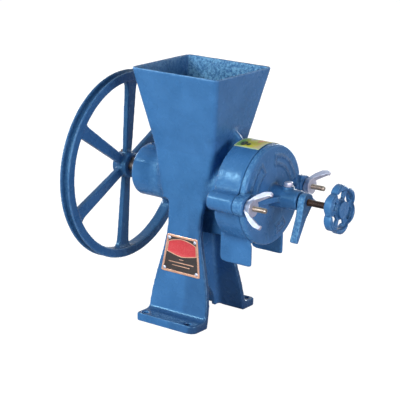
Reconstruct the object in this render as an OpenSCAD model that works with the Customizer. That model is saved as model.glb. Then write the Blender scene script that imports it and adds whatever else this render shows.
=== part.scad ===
// Belt-driven plate mill for grain, cast iron, painted.
// X runs along the shaft, from the belt pulley (-X) to the handwheel (+X).
// Y = 0 is the shaft's plane, Z = 0 is the floor under the feet, X = 0 is the middle of the legs.

/* [Hopper and body] */
// Height of the hopper's rim above the floor
hopper_top = 397; // [390:1:405]
// Length of the hopper's rim along the shaft
hopper_len = 161; // [152:1:168]
// Width of the hopper's rim across the shaft
hopper_wid = 148; // [140:1:154]
// Wall of the hopper
hopper_wall = 4; // [3:0.5:5]
// Corner radius of the hopper's rim
hopper_corner = 7; // [6:1:14]
// Height at which the funnel meets the upright body
neck_z = 270; // [264:1:276]
// Length of the body along the shaft at the neck
neck_len = 113; // [109:1:115]
// Width of the body across the shaft at the neck
neck_wid = 88; // [87:1:92]
// Length of the body along the shaft where the legs start
waist_len = 84; // [80:1:88]
// Height at which the upright body ends and the legs start
waist_z = 200; // [196:1:204]

/* [Legs and feet] */
// Width of a leg plate at its narrowest
leg_waist = 61; // [57:1:64]
// How far a leg plate stands off the body's middle, along the shaft
leg_shift = 3; // [0:0.5:5]
// Width of a leg plate at the foot
leg_foot = 110; // [104:1:114]
// Thickness of a leg plate
leg_t = 9; // [7:0.5:11]
// Distance from the shaft's plane to the outside of a leg plate at its top
leg_top_y = 43; // [42.5:0.5:45]
// How far the front leg plate has curved outwards at the floor
front_spread = 15; // [12:1:18]
// How far the back leg plate has curved outwards at the floor
back_spread = 22; // [18:1:24]
// Distance from the shaft's plane to the outer edge of a foot
foot_reach = 87.5; // [86:0.5:90]
// Thickness of a foot
foot_t = 13.5; // [11:0.5:15]
// Corner radius of a foot's worn corner
foot_corner = 12; // [8:1:14]
// Hole spacing of the feet along the shaft
foot_hole_x = 83; // [78:1:86]
// Hole spacing of the feet across the shaft
foot_hole_y = 157; // [154:1:158]
// Hole diameter of the feet
foot_hole_d = 11; // [9:0.5:12]
// Thickness of the web between the leg plates
web_t = 8; // [6:1:10]
// Radius of the arch at the foot of the web
arch_r = 46; // [38:1:47]

/* [Shaft and bearings] */
// Height of the shaft's axis above the floor
shaft_z = 219; // [215:1:223]
// Diameter of the shaft
shaft_d = 20; // [18:0.5:22]
// Diameter of the shaft's journal in the cover
journal_d = 15; // [13:0.5:16]
// Diameter of the barrel that holds the shaft
barrel_d = 82; // [80:1:84]
// Distance from the legs' middle to the barrel's outer end
barrel_reach = 104; // [98:1:110]
// Outer diameter of the drive bush
drive_bush_d = 28; // [26:1:32]
// Length of the drive bush
drive_bush_len = 60; // [50:1:62]
// Outer diameter of the cover bush
cover_bush_d = 20; // [18.5:0.5:21]
// Length of the cover bush
cover_bush_len = 38; // [34:1:39]

/* [Grinding chamber] */
// Distance from the legs' middle to the drum's back
drum_x = 80; // [76:1:84]
// Depth of the drum
drum_depth = 47; // [46:0.5:52]
// Outer diameter of the drum and cover
drum_d = 154; // [150:1:158]
// Wall of the drum
drum_wall = 7; // [6:0.5:8]
// Room between the grinding plates and the drum's wall
plate_room = 7; // [5:0.5:9]
// Thickness of a grinding plate
plate_t = 10; // [8:0.5:10.5]
// Gap between the grinding plates as they stand
plate_gap = 0.4; // [0.2:0.1:0.8]
// Diameter of the feed bore round the worm
feed_bore_d = 48; // [44:1:50]
// Pitch of the feed worm
worm_pitch = 28; // [22:1:32]
// Thickness of the worm's flight
worm_flight_t = 4; // [3:0.5:5]
// Thickness of the runner's carrier disc
carrier_t = 7; // [6:0.5:8]
// Furrows in each grinding plate
furrows = 12; // [8:1:16]
// Inner width of the chute under the drum
chute_wid = 80; // [74:1:84]
// Wall of the chute
chute_wall = 5; // [4:0.5:6]
// Height of the chute's mouth above the floor
chute_z = 114; // [110:1:122]

/* [Cover and its nuts] */
// Thickness of the cover
cover_t = 10; // [8:0.5:12]
// Height of the cover's boss above its face
boss_h = 49; // [48:0.5:52]
// Diameter of the boss at its free end
boss_d = 30; // [29:0.5:33]
// Thickness of the cover's ears
ear_t = 17; // [15:0.5:18]
// Distance between the two studs
stud_span = 160; // [158:1:162]
// Diameter of the studs
stud_d = 8; // [7:0.5:9]
// Radius of the ears and lugs round the studs
ear_r = 15; // [13:0.5:16]
// Free length of a stud beyond the ear
stud_free = 34; // [30:1:38]
// Reach of a wing nut's arms from the stud's axis
wing_reach = 30; // [27:1:32]
// Reach of a wing nut's arms out from the ear
wing_out = 34; // [30:1:37]
// Thickness of a wing nut's bow at its middle
wing_t = 7.5; // [5:0.5:8.5]
// Slope of the inner faces of a wing nut's arms, in degrees
wing_slope = 30; // [26:1:34]
// Width of a wing nut's bow at its middle
wing_w = 14; // [11:0.5:16]
// Width of a wing nut's bow at its tips
wing_tip_w = 5.5; // [4:0.5:8]
// Diameter of the oil hole's plug
plug_d = 8; // [6:0.5:9]

/* [Setting gear] */
// Diameter of the pressure screw
screw_d = 10; // [9.5:0.5:11]
// Diameter of the thrust ball
ball_d = 9; // [8:0.5:9.5]
// Gap between the boss and the slackened lock lever
lever_gap = 2; // [0.5:0.5:3]
// Thickness of the lock lever at its eye
lever_t = 12; // [10:0.5:14]
// Radius of the lock lever's eye
lever_eye_r = 13.5; // [12:0.5:14.5]
// Length of the lock lever from the screw to its tip
lever_len = 64; // [56:1:72]
// Lean of the lock lever from upright, in degrees
lever_lean = 26; // [0:1:30]
// Distance from the lever to the handwheel's hub
screw_free = 43; // [36:1:46]
// Radius of the handwheel over its lobes
wheel_r = 38; // [35:1:40]
// Thickness of the handwheel's rim
wheel_t = 15; // [12:1:16]
// Length of the handwheel's hub
wheel_hub_len = 18; // [16:1:22]
// Radius of the handwheel's hub
wheel_hub_r = 13; // [11:0.5:14]

/* [Pulley] */
// Outer diameter of the pulley
pulley_d = 304.8; // [280:0.2:310]
// Width of the pulley's rim
rim_w = 19; // [18:0.5:22]
// Radial depth of the pulley's rim
rim_depth = 15.4; // [14.4:0.2:18]
// Depth of the belt groove
groove_depth = 10; // [8:0.5:10]
// Width of the belt groove at the top
groove_top = 13; // [12:0.5:14]
// Width of the belt groove at the bottom
groove_bottom = 7; // [6:0.5:8]
// Thickness of the spokes
spoke_t = 9; // [8:0.5:11]
// Width of a spoke at the hub
spoke_hub_w = 15; // [13:0.5:16]
// Width of a spoke at the rim
spoke_rim_w = 22; // [20:0.5:26]
// Number of spokes
spokes = 6; // [5:1:6]
// Diameter of the pulley's hub
hub_d = 40; // [38:0.5:44]
// Length of the pulley's hub
hub_len = 27; // [25:0.5:30]
// Gap between the barrel's end and the pulley's hub
hub_gap = 27; // [22:1:30]
// Turn of the pulley as it stands, in degrees
pulley_turn = -3.7; // [-10:0.1:10]

/* [Plates and labels] */
// Height of the nameplate's middle above the floor
nameplate_z = 107; // [104:1:112]
// Height of the nameplate
nameplate_h = 60; // [56:1:66]
// Width of the nameplate at its top
nameplate_top = 57; // [50:1:59]
// Width of the nameplate at its bottom
nameplate_bottom = 72; // [62:1:78]
// Thickness of the nameplate
nameplate_t = 0.8; // [0.6:0.1:1.2]
// Length of the label on the drum, along the shaft
label_len = 44; // [36:1:45]
// Angle that the label covers round the drum, in degrees
label_arc = 48; // [36:1:50]

/* [Hidden] */
$fn = 72;
eps = 0.05;             // overlap of cutting tools past a face
fit = 0.02;             // radial play of parts that are pressed or screwed together
run = 0.05;             // radial play of a shaft in its bush
steps = 12;             // straight steps in a curved outline

shaft_r = shaft_d / 2;
journal_r = journal_d / 2;
barrel_r = barrel_d / 2;
drum_r = drum_d / 2;
drum_in_r = drum_r - drum_wall;
plate_d = 2 * (drum_in_r - plate_room);
feed_r = feed_bore_d / 2;
screw_r = screw_d / 2;
stud_r = stud_d / 2;
stud_y = stud_span / 2;
pulley_r = pulley_d / 2;
rim_in_r = pulley_r - rim_depth;
hub_r = hub_d / 2;

// Places along the shaft
barrel_end = -barrel_reach;
pulley_x = barrel_end - hub_gap - hub_len / 2;
feed_start = -30;
drum_floor = drum_x + drum_wall;
seam = drum_x + drum_depth;
cover_face = seam + cover_t;
ear_face = seam + ear_t;
boss_end = cover_face + boss_h;
fixed_face = drum_floor + plate_t;
runner_face = fixed_face + plate_gap;
carrier_x = runner_face + plate_t;
carrier_hub = 8;        // how far the carrier's hub reaches past its disc
carrier_end = carrier_x + carrier_t + carrier_hub;
feed_travel = 3;        // how far the runner can be backed off
thread_len = 20.5;      // length of the boss beyond the shaft's end
journal_end = boss_end - thread_len;
ball_x = journal_end + fit + ball_d / 2;
screw_nose = ball_x + ball_d / 2 + fit;
screw_bore_x = journal_end + feed_travel + 1.5; // the shaft's end never meets the threaded bore
lever_x = boss_end + lever_gap;
wheel_hub_x = lever_x + lever_t + screw_free;
wheel_end = wheel_hub_x + wheel_hub_len;
wheel_mid = wheel_end - 1 - wheel_t / 2;
wheel_cap = 3;          // metal left in front of the screw's end
bush_start = seam + 1;  // the cover bush lies just inside the cover

// Half width of the body at height z, along the shaft (l) or across it (w)
function blend(a, b, t) = a + (b - a) * t;
function half_len(z) = z > neck_z
    ? blend(neck_len, hopper_len, (z - neck_z) / (hopper_top - neck_z)) / 2
    : blend(waist_len, neck_len, (z - waist_z) / (neck_z - waist_z)) / 2;
function half_wid(z) =
    blend(neck_wid, hopper_wid, (z - neck_z) / (hopper_top - neck_z)) / 2;

// Outline of a leg: half width at height z, the straight side's place, and its outside's distance from the shaft's plane
leg_narrow_z = 165;     // height of the narrowest place
leg_wide_z = 20;        // height below which a leg is at its full width
leg_curve_z = 170;      // height below which a leg curves outwards
leg_joint_z = waist_z + 30;
notch_z = waist_z - 8;  // underside of the body beside a leg
joint_inset = 1.5;      // how far a leg's top lies inside the body's sides
notch_r = 5;            // fillet there
function ease(t) = let (u = min(1, max(0, t))) u * u * (3 - 2 * u);
function leg_half(z) =
    blend(leg_waist, leg_foot, ease((leg_narrow_z - z) / (leg_narrow_z - leg_wide_z))) / 2;
function leg_side(z) = leg_shift + (z < leg_narrow_z ? leg_half(z) : blend(leg_waist / 2,
    half_len(leg_joint_z) - leg_shift - joint_inset, (z - leg_narrow_z) / (leg_joint_z - leg_narrow_z)));
function leg_out(z, spread) = leg_top_y + spread * pow(max(0, leg_curve_z - z) / leg_curve_z, 2);
function leg_slope(z, spread) = atan(2 * spread * max(0, leg_curve_z - z) / pow(leg_curve_z, 2));
leg_zs = [for (i = [0 : steps]) leg_joint_z * (1 - i / steps)];
cove_r = 8;             // fillet between a leg plate and its foot

// Points of an arc in the plane, from angle a to angle b
function arc(c, r, a, b, n = 6) = [for (i = [0 : n]) c + r * [cos(blend(a, b, i / n)), sin(blend(a, b, i / n))]];

iron_blue = "#4377af";
bare_steel = "#8d8f94";
bronze = "#b08a4e";
zinc = "#dfe2ee";
dark_screw = "#3a2f33";

// A cylinder along the shaft from x0 to x1, and a cone
module rod(x0, x1, r, y = 0, z = shaft_z)
    translate([x0, y, z]) rotate([0, 90, 0]) cylinder(h = x1 - x0, r = r);
module taper(x0, x1, r0, r1, y = 0, z = shaft_z)
    translate([x0, y, z]) rotate([0, 90, 0]) cylinder(h = x1 - x0, r1 = r0, r2 = r1);
// A flat outline in the plane across the shaft, given as [y, z], swept along the shaft
module across(x0, x1) translate([x0, 0, 0]) rotate([90, 0, 90]) linear_extrude(x1 - x0) children();
// A flat outline given as [x, z], swept across the shaft
module along(y0, y1) translate([0, y1, 0]) rotate([90, 0, 0]) linear_extrude(y1 - y0) children();
// A ring sector round the shaft, starting at angle a from +Y towards +Z
module ring_sector(x0, x1, r0, r1, a, sweep)
    translate([x0, 0, shaft_z]) rotate([a, 0, 0]) rotate([90, 0, 90])
        rotate_extrude(angle = sweep) translate([r0, 0]) square([r1 - r0, x1 - x0]);
// Children at each of n even places round the shaft
module round_shaft(n, a = 0)
    for (i = [0 : n - 1]) translate([0, 0, shaft_z]) rotate([a + 360 * i / n, 0, 0]) children();

// A level plate with rounded corners, for the funnel's hulls
module slab(l, w, r, z)
    translate([0, 0, z]) linear_extrude(eps) union() {
        square([l - 2 * r, w], center = true);
        square([l, w - 2 * r], center = true);
        for (x = [-1, 1], y = [-1, 1]) translate([x * (l / 2 - r), y * (w / 2 - r)]) circle(r, $fn = 32);
    }

neck_corner = 8;
waist_corner = 1;
module hopper_outside() {
    hull() {
        slab(hopper_len, hopper_wid, hopper_corner, hopper_top - eps);
        slab(neck_len, neck_wid, neck_corner, neck_z);
    }
    hull() {
        slab(neck_len, neck_wid, neck_corner, neck_z);
        slab(waist_len, 2 * leg_top_y, waist_corner, waist_z);
    }
}

funnel_z = 300;         // height where the funnel's floor starts
throat_len = 44;        // feed opening over the worm, along the shaft
throat_wid = 36;        // and across it
throat_top = 258;
funnel_corner = 6;
funnel_len = 2 * half_len(funnel_z) - 2.4 * hopper_wall;
funnel_wid = 2 * half_wid(funnel_z) - 2.4 * hopper_wall;
throat_corner = 4;
module hopper_inside() {
    hull() {
        slab(hopper_len - 2 * hopper_wall, hopper_wid - 2 * hopper_wall, hopper_corner - hopper_wall, hopper_top);
        slab(funnel_len, funnel_wid, funnel_corner, funnel_z);
    }
    hull() {
        slab(funnel_len, funnel_wid, funnel_corner, funnel_z);
        slab(throat_len, throat_wid, throat_corner, throat_top);
    }
    translate([-throat_len / 2, -throat_wid / 2, shaft_z])
        cube([throat_len, throat_wid, throat_top - shaft_z + 1]);
}

// A leg is drawn as the back one; the front one is the same casting shape turned half round
module leg_front_outline() {
    notch_x = leg_waist / 2 - leg_shift;
    polygon(concat(
        [for (z = leg_zs) [-leg_side(z), z]],
        [for (i = [steps : -1 : 0]) if (leg_zs[i] < notch_z - notch_r) [leg_half(leg_zs[i]) - leg_shift, leg_zs[i]]],
        arc([notch_x + notch_r, notch_z - notch_r], notch_r, 180, 90),
        [[waist_len / 2 - joint_inset, notch_z], [waist_len / 2 - joint_inset, leg_joint_z]]));
}
module leg_side_outline(spread) {
    cove_y = leg_out(foot_t + cove_r, spread) + cove_r;
    polygon(concat(
        [for (z = leg_zs) if (z > foot_t + cove_r) [leg_out(z, spread), z]],
        arc([cove_y, foot_t + cove_r], cove_r, 180, 270),
        [[foot_reach, foot_t], [foot_reach, 0]],
        [for (i = [steps : -1 : 0]) [leg_out(leg_zs[i], spread) - leg_t, leg_zs[i]]]));
}
module corner_cutter(side, r) translate([side * leg_foot / 2 - leg_shift, foot_reach, -1])
    linear_extrude(leg_narrow_z) difference() {
        translate([side > 0 ? -r : -1, -r]) square(r + 1);
        translate([-side * r, -r]) circle(r);
    }
module leg(spread) difference() {
    intersection() {
        along(0, foot_reach + 1) leg_front_outline();
        across(-leg_foot, leg_foot) leg_side_outline(spread);
    }
    corner_cutter(-1, foot_corner);
    corner_cutter(1, foot_corner / 4);
}
module web() across(-web_t / 2, web_t / 2) difference() {
    polygon(concat([for (z = leg_zs) [leg_out(z, back_spread) - leg_t / 2, z]],
        [for (i = [steps : -1 : 0]) [leg_t / 2 - leg_out(leg_zs[i], front_spread), leg_zs[i]]]));
    circle(arch_r);
}

lug_base_r = 18;        // half height of a lug where it meets the drum
module ear_outline(side) {
    translate([side * stud_y, shaft_z]) circle(ear_r);
    polygon([[side * stud_y, shaft_z - ear_r], [side * stud_y, shaft_z + ear_r],
        [side * (drum_in_r - 2), shaft_z + lug_base_r], [side * (drum_in_r - 2), shaft_z - lug_base_r]]);
}
lip = 3.5;              // how far the chute's cheeks reach past the drum's front
cheek_heel = 7;         // how far they reach behind the drum's back
cheek_top = 17;         // height of the heel's top above the drum's underside
heel_corner = 8;
lip_corner = 4;
chute_back = 12;        // height of the chute's back edge above its mouth
module chute_cheek() {
    back = drum_x - cheek_heel;
    front = seam + lip;
    polygon(concat([[drum_x, shaft_z - drum_r / 2], [back, shaft_z - drum_r + cheek_top], [back, chute_z + heel_corner]],
        arc([back + heel_corner, chute_z + heel_corner], heel_corner, 180, 270),
        arc([front - lip_corner, chute_z + lip_corner], lip_corner, 270, 360),
        [[front, shaft_z - drum_r / 2]]));
}
module chute() {
    for (side = [-1, 1]) translate([0, side * (chute_wid + chute_wall) / 2, 0])
        along(-chute_wall / 2, chute_wall / 2) chute_cheek();
    translate([drum_x, -chute_wid / 2 - 1, chute_z + chute_back])
        cube([drum_wall, chute_wid + 2, shaft_z - drum_r - chute_z + 20]);
}
oil_cup_x = barrel_end + 16;
oil_cup_z = shaft_z + barrel_r + 3;
oil_cup_r = 11;
oil_cup_in_r = 7;
oil_cup_deep = 6;
oil_hole_r = 2.5;
barrel_chamfer = 3;
module barrel() {
    taper(barrel_end, barrel_end + barrel_chamfer, barrel_r - barrel_chamfer, barrel_r);
    rod(barrel_end + barrel_chamfer, drum_x + 1, barrel_r);
    translate([oil_cup_x, 0, shaft_z + barrel_r / 2])
        cylinder(h = oil_cup_z - shaft_z - barrel_r / 2, r = oil_cup_r);
}
gusset_t = 8;           // thickness of the upper gusset; the lower one is twice as thick
gusset_rise = 42;       // how far the upper gusset climbs the hopper
gusset_drop = 41;       // how far the lower gusset hangs below the barrel
module gussets() {
    along(-gusset_t / 2, gusset_t / 2) polygon([[half_len(neck_z) - 6, neck_z - 12], [drum_x + 2, neck_z - 12],
        [drum_x + 2, shaft_z + drum_r - 4], [half_len(neck_z + gusset_rise) - 2, neck_z + gusset_rise]]);
    along(-gusset_t, gusset_t) polygon([[0, shaft_z - barrel_r - gusset_drop], [drum_x + 2, shaft_z - drum_r],
        [drum_x + 2, shaft_z - barrel_r / 2], [0, shaft_z - barrel_r / 2]]);
}

plate_screw_r = 3;
plate_screw_ring = plate_d / 2 - 17; // radius of the ring of screws through a plate
screw_head_r = 5.5;
screw_head_h = 3.5;
screw_grip = 4.5;       // how far a plate's screw reaches into what holds it
head_sink = 6;          // depth of a screw's underside below the fixed plate's face
slot_w = 1.2;
// A slotted screw with its head's underside at the origin and its shank along -Z
module slotted_screw(shank) difference() {
    union() {
        translate([0, 0, -shank]) cylinder(h = shank + 1, r = plate_screw_r);
        cylinder(h = screw_head_h, r = screw_head_r);
    }
    translate([-screw_head_r - 1, -slot_w / 2, screw_head_h - slot_w]) cube([2 * screw_head_r + 2, slot_w, 2 * slot_w]);
}
rivet_r = 1.6;
rivet_inset = 5.5;
rivet_len = 6;
plate_seat = 0.1;       // gap between the nameplate and the curved leg
rivet_spots = [for (top = [-1, 1], x = [-1, 1])
    let (z = nameplate_z + top * (nameplate_h / 2 - rivet_inset),
         half = blend(nameplate_bottom, nameplate_top, (z - nameplate_z) / nameplate_h + 0.5) / 2)
    [leg_shift + x * (half - rivet_inset), z]];
// Children on the front leg's face, with +Z along the face's outward normal
module on_front_leg(spot) translate([spot[0], -leg_out(spot[1], front_spread), spot[1]])
    rotate([90 - leg_slope(spot[1], front_spread), 0, 0]) children();

module body_casting() color(iron_blue) difference() {
    union() {
        hopper_outside();
        leg(back_spread);
        rotate([0, 0, 180]) leg(front_spread);
        web();
        barrel();
        rod(drum_x, seam, drum_r);
        for (side = [-1, 1]) across(drum_x, seam) ear_outline(side);
        chute();
        gussets();
    }
    hopper_inside();
    rod(feed_start, drum_floor + eps, feed_r);
    rod(barrel_end - eps, barrel_end + drive_bush_len, drive_bush_d / 2 + fit);
    rod(barrel_end + drive_bush_len - eps, feed_start + eps, shaft_r + 1.5);
    rod(drum_floor, seam + eps, drum_in_r);
    rod(seam, seam + lip + 1, drum_r + 1);
    translate([drum_floor, -chute_wid / 2, chute_z - 1])
        cube([seam + lip + 1 - drum_floor, chute_wid, shaft_z - chute_z - drum_in_r / 2]);
    for (side = [-1, 1]) rod(drum_x + 12, seam + eps, stud_r + fit, side * stud_y);
    for (x = [-1, 1], y = [-1, 1]) translate([x * foot_hole_x / 2, y * foot_hole_y / 2, -1])
        cylinder(h = foot_t + 2, d = foot_hole_d);
    round_shaft(3, 90) translate([drum_floor - screw_grip - 0.5, plate_screw_ring, 0])
        rotate([0, 90, 0]) cylinder(h = screw_grip + 1.5, r = plate_screw_r + fit);
    translate([oil_cup_x, 0, oil_cup_z - oil_cup_deep]) cylinder(h = oil_cup_deep + 1, r = oil_cup_in_r);
    translate([oil_cup_x, 0, shaft_z + drive_bush_d / 2 - 1]) cylinder(h = barrel_r, r = oil_hole_r);
    for (s = rivet_spots) on_front_leg(s) translate([0, 0, -rivet_len]) cylinder(h = rivet_len + 1, r = rivet_r + fit);
}

boss_base_r = boss_d / 2 + 2;
frame_line = 2;         // width of a raised frame's line on the cover's face
frame_end = 2.2;        // angle that the line takes at a frame's ends
frame_h = 1;
cover_round = 4;
frames = [[33, 15, 122, 172], [31, 16, 14, 88], [27, 14, -79, -56]]; // inner and outer edge inside the rim, angles
rib_half = 4;           // half the thickness of the cover's ribs
rib_in = 8;             // where a rib starts and ends, from the shaft's plane
rib_out = drum_r - 13;
rib_tip = 3;            // height of a rib's outer end
module band(r0, r1, a, b) polygon(concat(arc([0, shaft_z], r0, a, b, 12), arc([0, shaft_z], r1, b, a, 12)));
module raised_frame(r0, r1, a, b) across(cover_face - 0.5, cover_face + frame_h) difference() {
    band(r0, r1, a, b);
    band(r0 + frame_line, r1 - frame_line, a + frame_end, b - frame_end);
}
plug_x = cover_face + 26.5;
boss_top = shaft_z + boss_base_r + 1.5;
module cover_casting() color(iron_blue) difference() {
    union() {
        translate([seam, 0, shaft_z]) rotate([90, 0, 90]) rotate_extrude() polygon(concat(
            [[0, 0], [drum_r, 0]], arc([drum_r - cover_round, cover_t - cover_round], cover_round, 0, 90, 5),
            [[0, cover_t]]));
        for (side = [-1, 1]) across(seam, ear_face) ear_outline(side);
        taper(cover_face - 1, boss_end, boss_base_r, boss_d / 2);
        translate([plug_x, 0, shaft_z]) cylinder(h = boss_top - shaft_z, r = 9);
        for (side = [-1, 1]) translate([0, 0, shaft_z - rib_half]) linear_extrude(2 * rib_half)
            polygon([[cover_face - 1, side * rib_in], [plug_x - 3, side * rib_in],
                [cover_face + rib_tip, side * rib_out], [cover_face - 1, side * rib_out]]);
        for (f = frames) raised_frame(drum_r - f[0], drum_r - f[1], f[2], f[3]);
    }
    rod(seam - eps, screw_bore_x, cover_bush_d / 2 + fit);
    rod(screw_bore_x - eps, boss_end + eps, screw_r + run);
    for (side = [-1, 1]) rod(seam - eps, ear_face + eps, stud_r + 0.5, side * stud_y);
    translate([plug_x, 0, shaft_z + cover_bush_d / 2 - 1])
        cylinder(h = boss_top - shaft_z, r = plug_d / 2 + fit);
}

// Half width of a spoke at radius r, flared into the rim
flare = 14;
function spoke_half(r) = let (t = (r - hub_r) / (rim_in_r - hub_r), f = max(0, 1 - (rim_in_r - r) / flare))
    blend(spoke_hub_w, spoke_rim_w, t) / 2 + 7 * f * f;
spoke_rs = concat([hub_r - 4, rim_in_r - flare], [for (i = [1 : 6]) rim_in_r - flare + i * (flare + 2) / 6]);
module spoke() translate([-spoke_t / 2, 0, 0]) rotate([90, 0, 90]) linear_extrude(spoke_t) polygon(concat(
    [for (r = spoke_rs) [r, spoke_half(r)]], [for (i = [len(spoke_rs) - 1 : -1 : 0]) [spoke_rs[i], -spoke_half(spoke_rs[i])]]));
key_w = 6;
key_h = 6;
module pulley() color(iron_blue) difference() {
    union() {
        translate([pulley_x - rim_w / 2, 0, shaft_z]) rotate([90, 0, 90]) rotate_extrude($fn = 120) polygon([
            [rim_in_r, 0], [pulley_r - 1, 0], [pulley_r, 1], [pulley_r, (rim_w - groove_top) / 2],
            [pulley_r - groove_depth, (rim_w - groove_bottom) / 2],
            [pulley_r - groove_depth, (rim_w + groove_bottom) / 2],
            [pulley_r, (rim_w + groove_top) / 2], [pulley_r, rim_w - 1], [pulley_r - 1, rim_w], [rim_in_r, rim_w]]);
        translate([pulley_x, 0, 0]) round_shaft(spokes, pulley_turn + 90) spoke();
        rod(pulley_x - hub_len / 2, pulley_x + hub_len / 2, hub_r);
    }
    rod(pulley_x - hub_len / 2 - 1, pulley_x + hub_len / 2 + 1, shaft_r + fit);
    translate([0, 0, shaft_z]) rotate([pulley_turn, 0, 0])
        translate([pulley_x - hub_len / 2 - 1, -key_w / 2 - fit, 0]) cube([hub_len + 2, key_w + 2 * fit, shaft_r + key_h / 2]);
    translate([set_screw_x, 0, shaft_z]) rotate([pulley_turn, 0, 0])
        cylinder(h = hub_r + 1, r = set_screw_r + fit);
}
set_screw_x = pulley_x - hub_len / 2 + 4.5;
set_screw_r = 3;
module pulley_set_screw() color(dark_screw) translate([set_screw_x, 0, shaft_z]) rotate([pulley_turn, 0, 0])
    difference() {
        translate([0, 0, shaft_r + key_h / 2 + fit]) cylinder(h = hub_r - shaft_r - key_h / 2 + 2, r = set_screw_r);
        translate([0, 0, hub_r]) cylinder(h = 4, r = 1.7, $fn = 6);
    }
module pulley_key() color(bare_steel) translate([0, 0, shaft_z]) rotate([pulley_turn, 0, 0])
    translate([pulley_x - hub_len / 2, -key_w / 2, shaft_r - key_h / 2 + fit]) cube([hub_len, key_w, key_h - fit]);

shaft_start = pulley_x - hub_len / 2 - 3;
worm_start = feed_start + 2;
worm_end = fixed_face - 2;
worm_key_x = worm_end - 34;
pin_r = 3;
pin_x = carrier_end - 6;
module shaft() color(bare_steel) difference() {
    union() {
        taper(shaft_start, shaft_start + 1.5, shaft_r - 1.5, shaft_r);
        rod(shaft_start + 1.5, carrier_end, shaft_r);
        rod(carrier_end - 1, journal_end, journal_r);
    }
    translate([0, 0, shaft_z]) rotate([pulley_turn, 0, 0])
        translate([shaft_start - 1, -key_w / 2 - fit, shaft_r - key_h / 2]) cube([hub_len + 6, key_w + 2 * fit, key_h]);
    translate([worm_key_x, -key_w / 2 - fit, shaft_z + shaft_r - key_h / 2]) cube([30, key_w + 2 * fit, key_h]);
    translate([pin_x, 0, shaft_z - shaft_r - 1]) cylinder(h = shaft_d + 2, r = pin_r + fit);
}
module worm_key() color(bare_steel)
    translate([worm_key_x + fit, -key_w / 2, shaft_z + shaft_r - key_h / 2 + fit]) cube([30 - 2 * fit, key_w, key_h - 1]);

module ring_bush(x0, len, outer, inner, hole_x) color(bronze) difference() {
    rod(x0, x0 + len, outer);
    rod(x0 - 1, x0 + len + 1, inner);
    translate([hole_x, 0, shaft_z]) cylinder(h = outer + 1, r = 2);
}
module drive_bush() ring_bush(barrel_end, drive_bush_len, drive_bush_d / 2, shaft_r + run, oil_cup_x);
module cover_bush() ring_bush(bush_start, cover_bush_len, cover_bush_d / 2, journal_r + run, plug_x);

sleeve_r = shaft_r + 3.5;
flight_r = feed_r - 1.5;
module worm_sleeve() color(bare_steel) difference() {
    rod(worm_start, worm_end, sleeve_r);
    rod(worm_start - 1, worm_end + 1, shaft_r + fit);
    translate([worm_key_x, -key_w / 2 - fit, shaft_z]) cube([worm_end + 1 - worm_key_x, key_w + 2 * fit, shaft_r + 2.1]);
}
// The flight is a strip wound round the sleeve, with flat facets that stay just outside it
turn_steps = 24;        // facets in a turn of the flight
flight_in_r = (sleeve_r + run) / cos(180 / turn_steps);
flight_len = worm_end - worm_start - worm_flight_t;
flight_steps = ceil(turn_steps * flight_len / worm_pitch);
function flight_ring(i) =
    let (x = worm_start + flight_len * i / flight_steps, a = 360 * (x - worm_start) / worm_pitch)
    [for (p = [[0, flight_in_r], [0, flight_r], [worm_flight_t, flight_r], [worm_flight_t, flight_in_r]])
        [x + p[0], p[1] * cos(a), shaft_z + p[1] * sin(a)]];
module worm_flight() color(bare_steel) polyhedron(
    points = [for (i = [0 : flight_steps]) each flight_ring(i)],
    faces = concat([[0, 1, 2], [0, 2, 3]],
        [for (i = [0 : flight_steps - 1], k = [0 : 3]) let (a = 4 * i + k, b = 4 * i + (k + 1) % 4) each
            [[a, a + 4, b], [b, a + 4, b + 4]]],
        [let (e = 4 * flight_steps) each [[e, e + 2, e + 1], [e, e + 3, e + 2]]]));

furrow_w = 3;
furrow_deep = 1.6;
module plate_ring(x0, face) difference() {
    rod(x0, x0 + plate_t, plate_d / 2);
    rod(x0 - 1, x0 + plate_t + 1, feed_r);
    round_shaft(furrows) translate([face - furrow_deep, 8, feed_r - 4]) cube([2 * furrow_deep, furrow_w, plate_d / 2]);
}
module fixed_plate() color(bare_steel) difference() {
    plate_ring(drum_floor, fixed_face);
    round_shaft(3, 90) translate([fixed_face, plate_screw_ring, 0]) rotate([0, 90, 0]) {
        translate([0, 0, -plate_t - 1]) cylinder(h = plate_t + 2, r = plate_screw_r + 0.3);
        translate([0, 0, -head_sink]) cylinder(h = head_sink + 1, r = screw_head_r + 0.5);
    }
}
module fixed_plate_screws() color(dark_screw) round_shaft(3, 90)
    translate([fixed_face - head_sink, plate_screw_ring, 0]) rotate([0, 90, 0])
        slotted_screw(plate_t + screw_grip - head_sink);
module runner_plate() color(bare_steel) difference() {
    plate_ring(runner_face, runner_face);
    round_shaft(3, 30) translate([carrier_x - screw_grip - 0.5, plate_screw_ring, 0]) rotate([0, 90, 0])
        cylinder(h = plate_t, r = plate_screw_r + fit);
}
module runner_carrier() color(bare_steel) difference() {
    union() {
        rod(carrier_x, carrier_x + carrier_t, plate_d / 2 - 6);
        rod(carrier_x, carrier_end, 19);
    }
    rod(carrier_x - 1, carrier_end + 1, shaft_r + fit);
    translate([pin_x, 0, shaft_z - 20]) cylinder(h = 40, r = pin_r + fit);
    round_shaft(3, 30) translate([carrier_x - 1, plate_screw_ring, 0]) rotate([0, 90, 0])
        cylinder(h = carrier_t + 2, r = plate_screw_r + 0.3);
}
module runner_screws() color(dark_screw) round_shaft(3, 30)
    translate([carrier_x + carrier_t, plate_screw_ring, 0]) rotate([0, 90, 0])
        slotted_screw(carrier_t + screw_grip);
module carrier_pin() color(bare_steel) translate([pin_x, 0, shaft_z - 19]) cylinder(h = 38, r = pin_r);

module cover_studs() color("#b9b08f") for (side = [-1, 1]) {
    rod(drum_x + 13, ear_face + stud_free - 2, stud_r, side * stud_y);
    taper(ear_face + stud_free - 2, ear_face + stud_free, stud_r, stud_r - 1.5, side * stud_y);
}

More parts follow.
